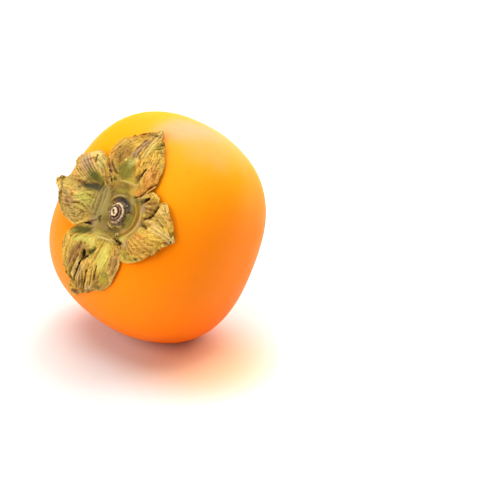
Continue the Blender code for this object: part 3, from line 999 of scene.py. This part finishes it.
def arc_share(finish, plan, arc):
    """How far part of a ring shows, its border softened."""
    heading, span = math.radians(arc.heading), math.radians(arc.span)
    off = finish.vector("LENGTH", plan) - arc.radius
    toward = (math.cos(heading), math.sin(heading), 0)
    ahead = finish.vector("DOT_PRODUCT", finish.vector("NORMALIZE", plan), toward)
    inside = finish.step(ahead, math.cos(span), math.cos(0.5 * span), 0.0, arc.strength)
    return inside * finish.step(off * off, 1.7 * arc.width**2, 0.2 * arc.width**2)


def disc_patches_near(leaf):
    """The arcs, and the disc's patches that don't end short of a sepal's foot. With all of them the bottom sepal
    rendered black, perhaps because its material was too large."""
    toward = Vector(leaf.tip).normalized()
    foot = min(Vector(point).dot(toward) for point in (*leaf.left, *leaf.right))

    def is_near(patch):
        return Vector(patch.centre).dot(toward) + PATCH_BORDER[0] * max(patch.radii) > foot - PATCH_STRAY

    return [patch for patch in DISC_PATCHES if isinstance(patch, Arc) or is_near(patch)]


def calyx_finish(name, patches, fruit_place, heading=0.0, grain=(1.2, 0.6)):
    """Dry leathery tissue: olive and smooth in the middle, and outside it pebbled and threaded along its heading, with
    painted shade in its hollows and creases and painted highlights on its rises and ridges.
    """
    finish = Finish(name, {"Specular IOR Level": 0.20})
    place = finish.object_place
    plan = calyx_plan(finish, fruit_place)
    stray = finish.vector("SUBTRACT", finish.wander(plan, 0.55, 4), (0.5, 0.5, 0.5))
    ragged = finish.vector("ADD", plan, finish.vector("MULTIPLY", stray, (1.5, 1.5, 0)))
    away = finish.vector("LENGTH", ragged)

    mottle = finish.step(finish.noise(place, 420, detail=5, roughness=0.65), 0.38, 0.62)
    middle = finish.mix(mottle, CALYX_COLOURS["olive"], CALYX_COLOURS["drab"])
    leaf = finish.mix(mottle, CALYX_COLOURS["tan"], CALYX_COLOURS["ochre"])
    colour = finish.mix(finish.step(away, 7.5, 12.5), middle, leaf)
    rough = finish.step(away, 8.0, 12.5, 0.30, 1.0) + finish.step(away, 5.4, 4.4, 0.0, 0.90)
    for patch in patches:
        share = arc_share(finish, plan, patch) if isinstance(patch, Arc) else patch_share(finish, ragged, patch)
        colour = finish.mix(share, colour, CALYX_COLOURS[patch.colour])
        if patch.colour in SMOOTH_COLOURS:
            rough = rough * (1 - SMOOTHING * share)

    along, across = finish.attribute("along"), finish.attribute("across")
    thread = finish.add("ShaderNodeCombineXYZ", None, {"X": along * (7.5 / grain[0]), "Y": across * 13.0})
    fibres = finish.noise(thread, 1.0, detail=4, roughness=0.7, distortion=0.6)
    waver = finish.vector("ADD", ragged, finish.vector("MULTIPLY", finish.wander(plan, 1.6, 3), (0.9, 0.9, 0)))
    pebbles = finish.seen_from((0, 0, 0), (*grain, 1), waver, (0, 0, heading))
    seams = finish.step(finish.cells(pebbles, 1.0, feature="DISTANCE_TO_EDGE"), 0.0, 0.30, -0.26, 0.18)
    grit = finish.noise(place, 1100)

    fine = rough * (FIBRE_CONTRAST * (fibres - 0.5) + seams + GRIT_CONTRAST * (grit - 0.5))
    # Painted shade in the fine hollows and painted highlights on the fine rises, over the tissue's own grain
    colour = finish.shade(finish.step(fine, 0.05, -0.90), colour, HOLLOW_SHADE)
    colour = finish.shade(finish.step(fine, 0.05, 0.70), colour, RISE_HIGHLIGHT)
    # Painted shade in the creases, and a butter-coloured painted highlight on the ridges
    mark = finish.attribute("mark")
    colour = finish.shade(finish.step(mark, -0.05, -0.40), colour, CREASE_SHADE)
    colour = finish.mix(finish.step(mark, 0.06, 0.45, 0.0, 0.70), colour, CALYX_COLOURS["butter"])
    finish.set("Base Color", colour)
    finish.set("Roughness", 0.80 - 0.12 * mottle)

    coarse = finish.bump(rough * fibres, 0.00035, 0.55)
    finish.set("Normal", finish.bump(rough * (seams + grit), 0.00018, 0.7, coarse))
    return finish


def stub_finish():
    """Broken bark in layers: pale rims, dark grooves and fine fibres."""
    finish = Finish("bark", {"Specular IOR Level": 0.20, "Roughness": 0.85})
    place = finish.object_place
    grain = finish.noise(place, 1300, detail=4, roughness=0.7)
    tone = finish.attribute("mark") + 2.4 * (grain - 0.5)
    colour = finish.mix(finish.step(grain, 0.38, 0.62), (0.190, 0.108, 0.055), (0.350, 0.215, 0.130))
    colour = finish.mix(finish.step(tone, 0.15, 0.95), colour, (0.830, 0.610, 0.370))
    colour = finish.mix(finish.step(tone, -0.15, -0.80, 0.0, 0.95), colour, (0.055, 0.020, 0.011))
    dusty = finish.mix(finish.step(grain, 0.36, 0.60), (0.070, 0.054, 0.036), (0.210, 0.165, 0.090))
    colour = finish.mix(finish.attribute("wall"), colour, dusty)
    finish.set("Base Color", colour)
    finish.set("Normal", finish.bump(grain, 0.00025, 0.7))
    return finish


def tip_finish():
    """Dry style remnant, brown to black."""
    finish = Finish("style_remnant", {"Specular IOR Level": 0.25, "Roughness": 0.9})
    grain = finish.noise(finish.object_place, 1600, detail=4, roughness=0.7)
    finish.set("Base Color", finish.mix(finish.step(grain, 0.35, 0.65), (0.020, 0.011, 0.007), (0.110, 0.062, 0.030)))
    finish.set("Normal", finish.bump(grain, 0.00020, 0.6))
    return finish


def floor_finish():
    """Plain white, warmer close to the fruit, where the fruit's orange bounce light is painted."""
    finish = Finish("floor_white", {"Roughness": 0.9, "Specular IOR Level": 0.1})
    away = finish.vector("DISTANCE", finish.object_place, BOUNCE_SPOT)
    finish.set("Base Color", finish.mix(finish.step(away, *BOUNCE_BORDER), PAINTED_BOUNCE_COLOUR, FLOOR_WHITE))
    return finish


# Pieces


def build_body():
    """The skin as a mesh in the fruit's own frame, without the resting flat."""
    sphere = {"u_segments": BODY_SEGMENTS, "v_segments": BODY_RINGS, "radius": 1.0}
    mesh = shape_of("skin", bmesh.ops.create_uvsphere, **sphere)
    set_points(mesh, body_points(points_of(mesh)))
    return mesh


def settle(points):
    """Presses the skin flat where it rests, with a soft border."""
    points[:, 2] = (points[:, 2] + np.hypot(points[:, 2], FLAT_SOFTNESS)) / 2


def make_skin(body, fruit_place, finish):
    points = points_of(body)
    outward = np.empty(len(body.vertices) * 3)
    body.vertices.foreach_get("normal", outward)
    wave = noise_at(points, SKIN_WAVE_PITCH)
    set_points(body, points + outward.reshape(-1, 3) * (wave * SKIN_WAVE)[:, None])
    put_in_place(body, fruit_place)
    points = points_of(body)
    settle(points)
    set_points(body, points)
    add_piece("skin", body, finish, "fruit_body")


def plan_to_fruit(x, y, height):
    """Points of the calyx in the fruit's own frame, from millimetres in plan and over the skin."""
    fruit_x, fruit_y = CALYX_CENTRE[0] + x * MM, CALYX_CENTRE[1] + y * MM
    return np.stack([fruit_x, fruit_y, crown_height(fruit_x, fruit_y) + height * MM], axis=1)


def thicken(piece, thickness):
    """Gives a leaf its thickness, under the surface that shows."""
    body = piece.modifiers.new("body", "SOLIDIFY")
    body.thickness = thickness * MM
    body.offset = -1.0


def make_disc(fruit_place, finish):
    """The middle of the calyx: a dished disc with a domed centre and a raised ring."""
    profile = [(k / DISC_RINGS, 0, 0) for k in range(DISC_RINGS + 1)]
    mesh = mesh_of("calyx_middle", spun(profile, DISC_SEGMENTS))
    unit = points_of(mesh)
    turn = np.arctan2(unit[:, 1], unit[:, 0])
    radius = DISC_RADIUS * (1 + DISC_SQUARENESS * np.cos(4 * (turn - DISC_TURN)))
    x, y = unit[:, 0] * radius, unit[:, 1] * radius
    height, mark = calyx_height(x, y)
    height -= SEAM_DROP * smooth_step(np.hypot(unit[:, 0], unit[:, 1]), 1 - SEAM_WIDTH / DISC_RADIUS, 1)
    height += rough_at(unit, DISC_WEAR)
    set_points(mesh, plan_to_fruit(x, y, height))
    set_attribute(mesh, "along", np.hypot(x, y) / LENGTH_UNIT)
    set_attribute(mesh, "across", turn / math.pi)
    set_attribute(mesh, "mark", mark)
    face_up(mesh)
    put_in_place(mesh, fruit_place)
    thicken(add_piece("calyx_middle", mesh, finish, "calyx_disc"), DISC_THICKNESS)


def face_up(mesh):
    """Turns an open sheet over if its faces point into the fruit."""
    if sum(polygon.normal.z for polygon in mesh.polygons) < 0:
        mesh.flip_normals()


def along_curve(points, shares):
    """Points at shares of the length of a smooth curve through the given ones."""
    knots = np.array(points, dtype=float)
    padded = np.vstack([2 * knots[0] - knots[1], knots, 2 * knots[-1] - knots[-2]])
    spans = np.linalg.norm(np.diff(knots, axis=0), axis=1)
    starts = np.concatenate([[0], np.cumsum(spans)]) / spans.sum()
    which = np.clip(np.searchsorted(starts, shares, side="right") - 1, 0, len(spans) - 1)
    t = ((shares - starts[which]) / (starts[which + 1] - starts[which]))[:, None]
    before, first, second, after = (padded[which + k] for k in range(4))
    bend = (2 * before - 5 * first + 4 * second - after) * t**2 + (3 * first - before - 3 * second + after) * t**3
    return first + 0.5 * ((second - before) * t + bend)


def remove_points(mesh, gone):
    """Takes the points marked as gone, and their faces, out of a mesh."""
    bm = bmesh.new()
    bm.from_mesh(mesh)
    bmesh.ops.delete(bm, geom=[vert for vert in bm.verts if gone[vert.index]], context="VERTS")
    bm.to_mesh(mesh)
    bm.free()


def make_leaf(name, leaf, fruit_place, finish):
    """A crumpled sepal: a sheet between its two edges, shaped by its folds and laid over the skin."""
    mesh = shape_of(name, bmesh.ops.create_grid, x_segments=LEAF_ROWS, y_segments=LEAF_COLUMNS, size=1.0)
    unit = points_of(mesh)
    along, aside = (unit[:, 0] + 1) / 2, unit[:, 1]
    share = (aside + 1) / 2
    reach = along + (along**leaf.skew - along) * share
    left = along_curve((*leaf.left, leaf.tip), along**leaf.skew)
    right = along_curve((*leaf.right, leaf.tip), along)
    plan = right + (left - right) * share[:, None]
    edge = np.abs(aside) ** 4
    ragged = np.column_stack([noise_at(unit, EDGE_PITCH, seed) for seed in (11.0, 23.0)])
    x, y = (plan + EDGE_RAGGEDNESS * ragged * np.maximum(edge, along**8)[:, None]).T
    flat = np.column_stack([x, y, 0 * x])
    rim = np.maximum(edge, along**12)

    away = np.hypot(x, y)
    free = smooth_step(away, *LEAF_FREEDOM)
    height, creases = calyx_height(x, y)
    swell, relief, mark = shapes_at(x, y, leaf.shapes)
    lanes = np.column_stack([reach * THREAD_WAVES[0], aside * THREAD_WAVES[1], 0 * reach])
    threads = 0.5 - np.abs(noise_at(lanes, 1.0, seed=5.0))
    pebbles = 0.15 - np.abs(noise_at(flat, PEBBLE_PITCH, seed=31.0))
    fine = 2 * (leaf.wrinkle * threads + PEBBLE_RISE * pebbles)
    lift = leaf.lift + leaf.tip_lift * reach**2 + leaf.edge_lift * edge * reach
    height += free * (lift + swell + relief + fine + rough_at(flat, CRUMPLE))
    height -= EDGE_DROP * free * smooth_step(rim, 0.3, 1.0)
    height -= SEAM_DROP * smooth_step(away, DISC_RADIUS + 0.1, DISC_RADIUS - SEAM_WIDTH)
    set_points(mesh, plan_to_fruit(x, y, np.maximum(height, LEAF_THICKNESS)))
    set_attribute(mesh, "along", away / LENGTH_UNIT)
    set_attribute(mesh, "across", aside)
    # The fine wrinkles add painted shade in their dips and painted highlight on their rises, and the rim a painted
    # highlight
    mark += 0.5 * fine + RIM_HIGHLIGHT * smooth_step(rim, 0.72, 0.95)
    set_attribute(mesh, "mark", creases + free * mark)
    for (bite_x, bite_y), radius in leaf.bites:
        remove_points(mesh, np.hypot(x - bite_x, y - bite_y) < radius)
    face_up(mesh)
    put_in_place(mesh, fruit_place)
    thicken(add_piece(name + "_leaf", mesh, finish, name), LEAF_THICKNESS)


# The stub's broken end, from its core out: (radius, height over the disc, paleness), in millimetres
STUB_PROFILE = (
    (0.00, 2.45, 0.9), (0.35, 2.50, 0.9), (0.70, 2.60, 1.0), (1.02, 2.45, 0.9), (1.16, 1.95, -0.8),
    (1.28, 1.60, -1.0), (1.40, 1.70, -0.4), (1.52, 1.95, 0.2), (1.70, 2.00, 0.2), (1.80, 1.75, -0.7),
    (1.90, 1.55, -0.9), (2.04, 1.65, 0.0), (2.22, 1.80, 0.8), (2.44, 1.70, 1.0), (2.58, 1.35, 0.4),
    (2.68, 0.95, -0.6), (2.80, 0.50, -0.5), (2.95, 0.10, -0.3), (3.15, -0.25, -0.2),
)
STUB_FOOT = -0.9
STUB_CENTRE = (-0.16, -0.45)
STUB_SQUEEZE = (0.96, 1.34)  # its width and length against the profile's
STUB_LEAN = (-0.70, 0.26)  # from its foot's middle to its core
STUB_TILT = 0.26  # how much lower its right side stands
STUB_PITS = ((-0.92, 0.48), (-0.34, -0.14))
STUB_PIT_RADIUS = 0.26
STUB_PIT_DEPTH = 0.8
STUB_PIT_DARKNESS = 3.2
STUB_CORE = (1.0, 1.6)  # radii at which the pale core ends, and the bark has begun
STUB_SHADE = 0.7  # how much paleness the bark loses on its other side
# Layers of noise, each its height, pitch and seed: in the rims of the bark, in its tilt and in its crumbs
STUB_STRAY = ((0.20, 1.1, 3.0), (0.16, 0.50, 13.0))
STUB_SWAY = (0.10, 1.9, 7.0)
STUB_CRUMBS = ((0.12, 0.42, 1.0), (0.10, 0.20, 21.0))
STUB_PALE_SIDE = math.radians(55)  # where its rim is palest
STUB_RIM = (2.6, 2.85)  # radii at which the colour of its wall sets in, and shows in full
STUB_SEGMENTS = 180
STUB_RINGS = 130


def layer_of(x, y, outer):
    """Radius of the layer through a point, where the layers are circles that lean more the smaller they are."""
    lean_x, lean_y = STUB_LEAN[0] / outer, STUB_LEAN[1] / outer
    x, y = x - STUB_LEAN[0], y - STUB_LEAN[1]
    spare = 1 - lean_x**2 - lean_y**2
    forward = x * lean_x + y * lean_y
    return (forward + np.sqrt(forward**2 + spare * (x**2 + y**2))) / spare


def make_stub(fruit_place, finish):
    """The broken stalk: bark in curled layers round a pale pitted core that leans to one side."""
    radii, heights, tones = np.array(STUB_PROFILE).T
    top = [(radii[-1] * k / STUB_RINGS, 0, 0) for k in range(STUB_RINGS + 1)]
    foot = [(radii[-1], 0, STUB_FOOT), (0, 0, STUB_FOOT)]
    mesh = mesh_of("stalk_stub", spun((*top, *foot), STUB_SEGMENTS))
    x, y, z = points_of(mesh).T
    under = z < STUB_FOOT / 2
    away = np.hypot(x, y)
    flat = np.column_stack([x, y, 0 * x])
    swirl = layer_of(x, y, radii[-1]) + rough_at(flat, *STUB_STRAY) * np.minimum(away, 1)
    rise = np.interp(swirl, radii, heights)
    tone = np.interp(swirl, radii, tones)
    outer = smooth_step(swirl, *STUB_CORE)
    pale_side = 0.5 + 0.5 * np.cos(np.arctan2(y, x) - STUB_PALE_SIDE)
    tone = np.where(tone > 0, tone * (1 - STUB_SHADE * outer * (1 - pale_side)), tone)
    for pit_x, pit_y in STUB_PITS:
        pit = np.exp(-(((x - pit_x) ** 2 + (y - pit_y) ** 2) / STUB_PIT_RADIUS**2))
        rise, tone = rise - STUB_PIT_DEPTH * pit, tone - STUB_PIT_DARKNESS * pit
    tilt = 1 - STUB_TILT * x / radii[-1] + rough_at(flat, STUB_SWAY)
    rise = rise * tilt + rough_at(flat, *STUB_CRUMBS) * smooth_step(rise, 0, 0.5)
    x, y = x * STUB_SQUEEZE[0] + STUB_CENTRE[0], y * STUB_SQUEEZE[1] + STUB_CENTRE[1]
    ground, _ = calyx_height(x, y)
    height = ground + np.where(under, STUB_FOOT, np.maximum(rise, -0.3))
    set_points(mesh, plan_to_fruit(x, y, height))
    set_attribute(mesh, "mark", np.where(under, 0, tone))
    set_attribute(mesh, "wall", smooth_step(swirl, *STUB_RIM))
    put_in_place(mesh, fruit_place)
    add_piece("stalk_stub", mesh, finish, "stem_stub")


# The remnant of the style: (radius, drop below the skin) from its foot to its end, in millimetres
TIP_PROFILE = (
    (1.15, -0.5), (1.10, 0.0), (0.80, 0.25), (0.52, 0.60), (0.42, 1.05), (0.36, 1.45), (0.20, 1.62), (0.0, 1.60),
)
TIP_SEGMENTS = 60
TIP_RIBS = 5
TIP_RIB_RISE = 0.14
TIP_WEAR = (0.12, 0.0006, 4.0)  # a layer of noise


def make_tip(fruit_place, finish):
    """The dry point of the style at the blossom end, ribbed where its branches broke off."""
    foot = BLOSSOM_DIMPLE_DEPTH - BASE_DROP
    bm = spun([(radius * MM, 0, foot - drop * MM) for radius, drop in TIP_PROFILE], TIP_SEGMENTS, nearest=1e-7)
    bmesh.ops.holes_fill(bm, edges=[edge for edge in bm.edges if edge.is_boundary], sides=0)
    mesh = mesh_of("style_tip", bm)
    points = points_of(mesh)
    turn = np.arctan2(points[:, 1], points[:, 0])
    ribs = 1 + TIP_RIB_RISE * np.cos(TIP_RIBS * turn) + rough_at(points, TIP_WEAR)
    points[:, :2] *= ribs[:, None]
    set_points(mesh, points)
    put_in_place(mesh, fruit_place)
    add_piece("style_tip", mesh, finish, "blossom_tip")


# Camera, light and floor


def add_camera(target):
    """Looks at the fruit from the front and above, with the fruit left of the view's middle."""
    back = Vector((
        math.sin(VIEW_AZIMUTH) * math.cos(VIEW_ELEVATION),
        -math.cos(VIEW_AZIMUTH) * math.cos(VIEW_ELEVATION),
        math.sin(VIEW_ELEVATION),
    ))
    right = Vector((math.cos(VIEW_AZIMUTH), math.sin(VIEW_AZIMUTH), 0))
    up = back.cross(right)
    lens = bpy.data.cameras.new("camera")
    lens.lens = VIEW_LENS
    lens.sensor_width = 36
    camera = bpy.data.objects.new("camera", lens)
    bpy.context.scene.collection.objects.link(camera)
    place = target + back * VIEW_DISTANCE
    behind = (place - target - right * VIEW_ASIDE + up * VIEW_BELOW).normalized()
    aside = up.cross(behind).normalized()
    turn = Matrix((aside, behind.cross(aside), behind)).transposed()
    camera.matrix_world = Matrix.Translation(place) @ turn.to_4x4()
    bpy.context.scene.camera = camera


def add_lamp(name, aside, elevation, strength, sheen=False):
    """Wide soft light from far off, aside of the camera's heading to the right, in degrees. sheen mirrors it."""
    lamp = bpy.data.lights.new(name, "SUN")
    lamp.energy = strength * math.pi
    lamp.angle = LAMP_SPREAD
    thing = bpy.data.objects.new(name, lamp)
    bpy.context.scene.collection.objects.link(thing)
    turn, lift = VIEW_AZIMUTH + math.radians(aside), math.radians(elevation)
    heading = Vector((math.sin(turn) * math.cos(lift), -math.cos(turn) * math.cos(lift), math.sin(lift)))
    thing.rotation_euler = heading.to_track_quat("Z", "Y").to_euler()
    thing.visible_glossy = sheen


def add_studio():
    """Light from bright walls behind and beside the fruit, from the front, and from a ceiling that the skin mirrors."""
    world = bpy.data.worlds.new("studio")
    world.use_nodes = True
    background = world.node_tree.nodes["Background"]
    background.inputs["Color"].default_value = (1.0, 1.0, 1.0, 1.0)
    background.inputs["Strength"].default_value = WORLD_STRENGTH
    bpy.context.scene.world = world
    bpy.context.scene.view_settings.view_transform = "Standard"
    add_lamp("back_wall", 165, 20, 0.80)
    add_lamp("right_wall", 135, 40, 0.85)
    add_lamp("ceiling", 190, 74, 0.95, sheen=True)
    add_lamp("left_fill", 292, 22, 0.85)
    add_lamp("right_fill", 45, 40, 0.14)


def add_floor():
    mesh = shape_of("floor", bmesh.ops.create_grid, x_segments=1, y_segments=1, size=FLOOR_SIZE)
    floor = add_object("floor", mesh, floor_finish())


body = build_body()
fruit_place = find_fruit_place(body)
add_camera(fruit_place.translation)
add_studio()
add_floor()

make_skin(body, fruit_place, skin_finish())
make_disc(fruit_place, calyx_finish("calyx_tissue", DISC_PATCHES, fruit_place))
for node, leaf in LEAVES.items():
    heading = math.atan2(leaf.tip[1], leaf.tip[0])
    patches = (*disc_patches_near(leaf), *leaf.patches)
    finish = calyx_finish(node + "_tissue", patches, fruit_place, heading, leaf.grain)
    make_leaf(node, leaf, fruit_place, finish)
make_stub(fruit_place, stub_finish())
make_tip(fruit_place, tip_finish())
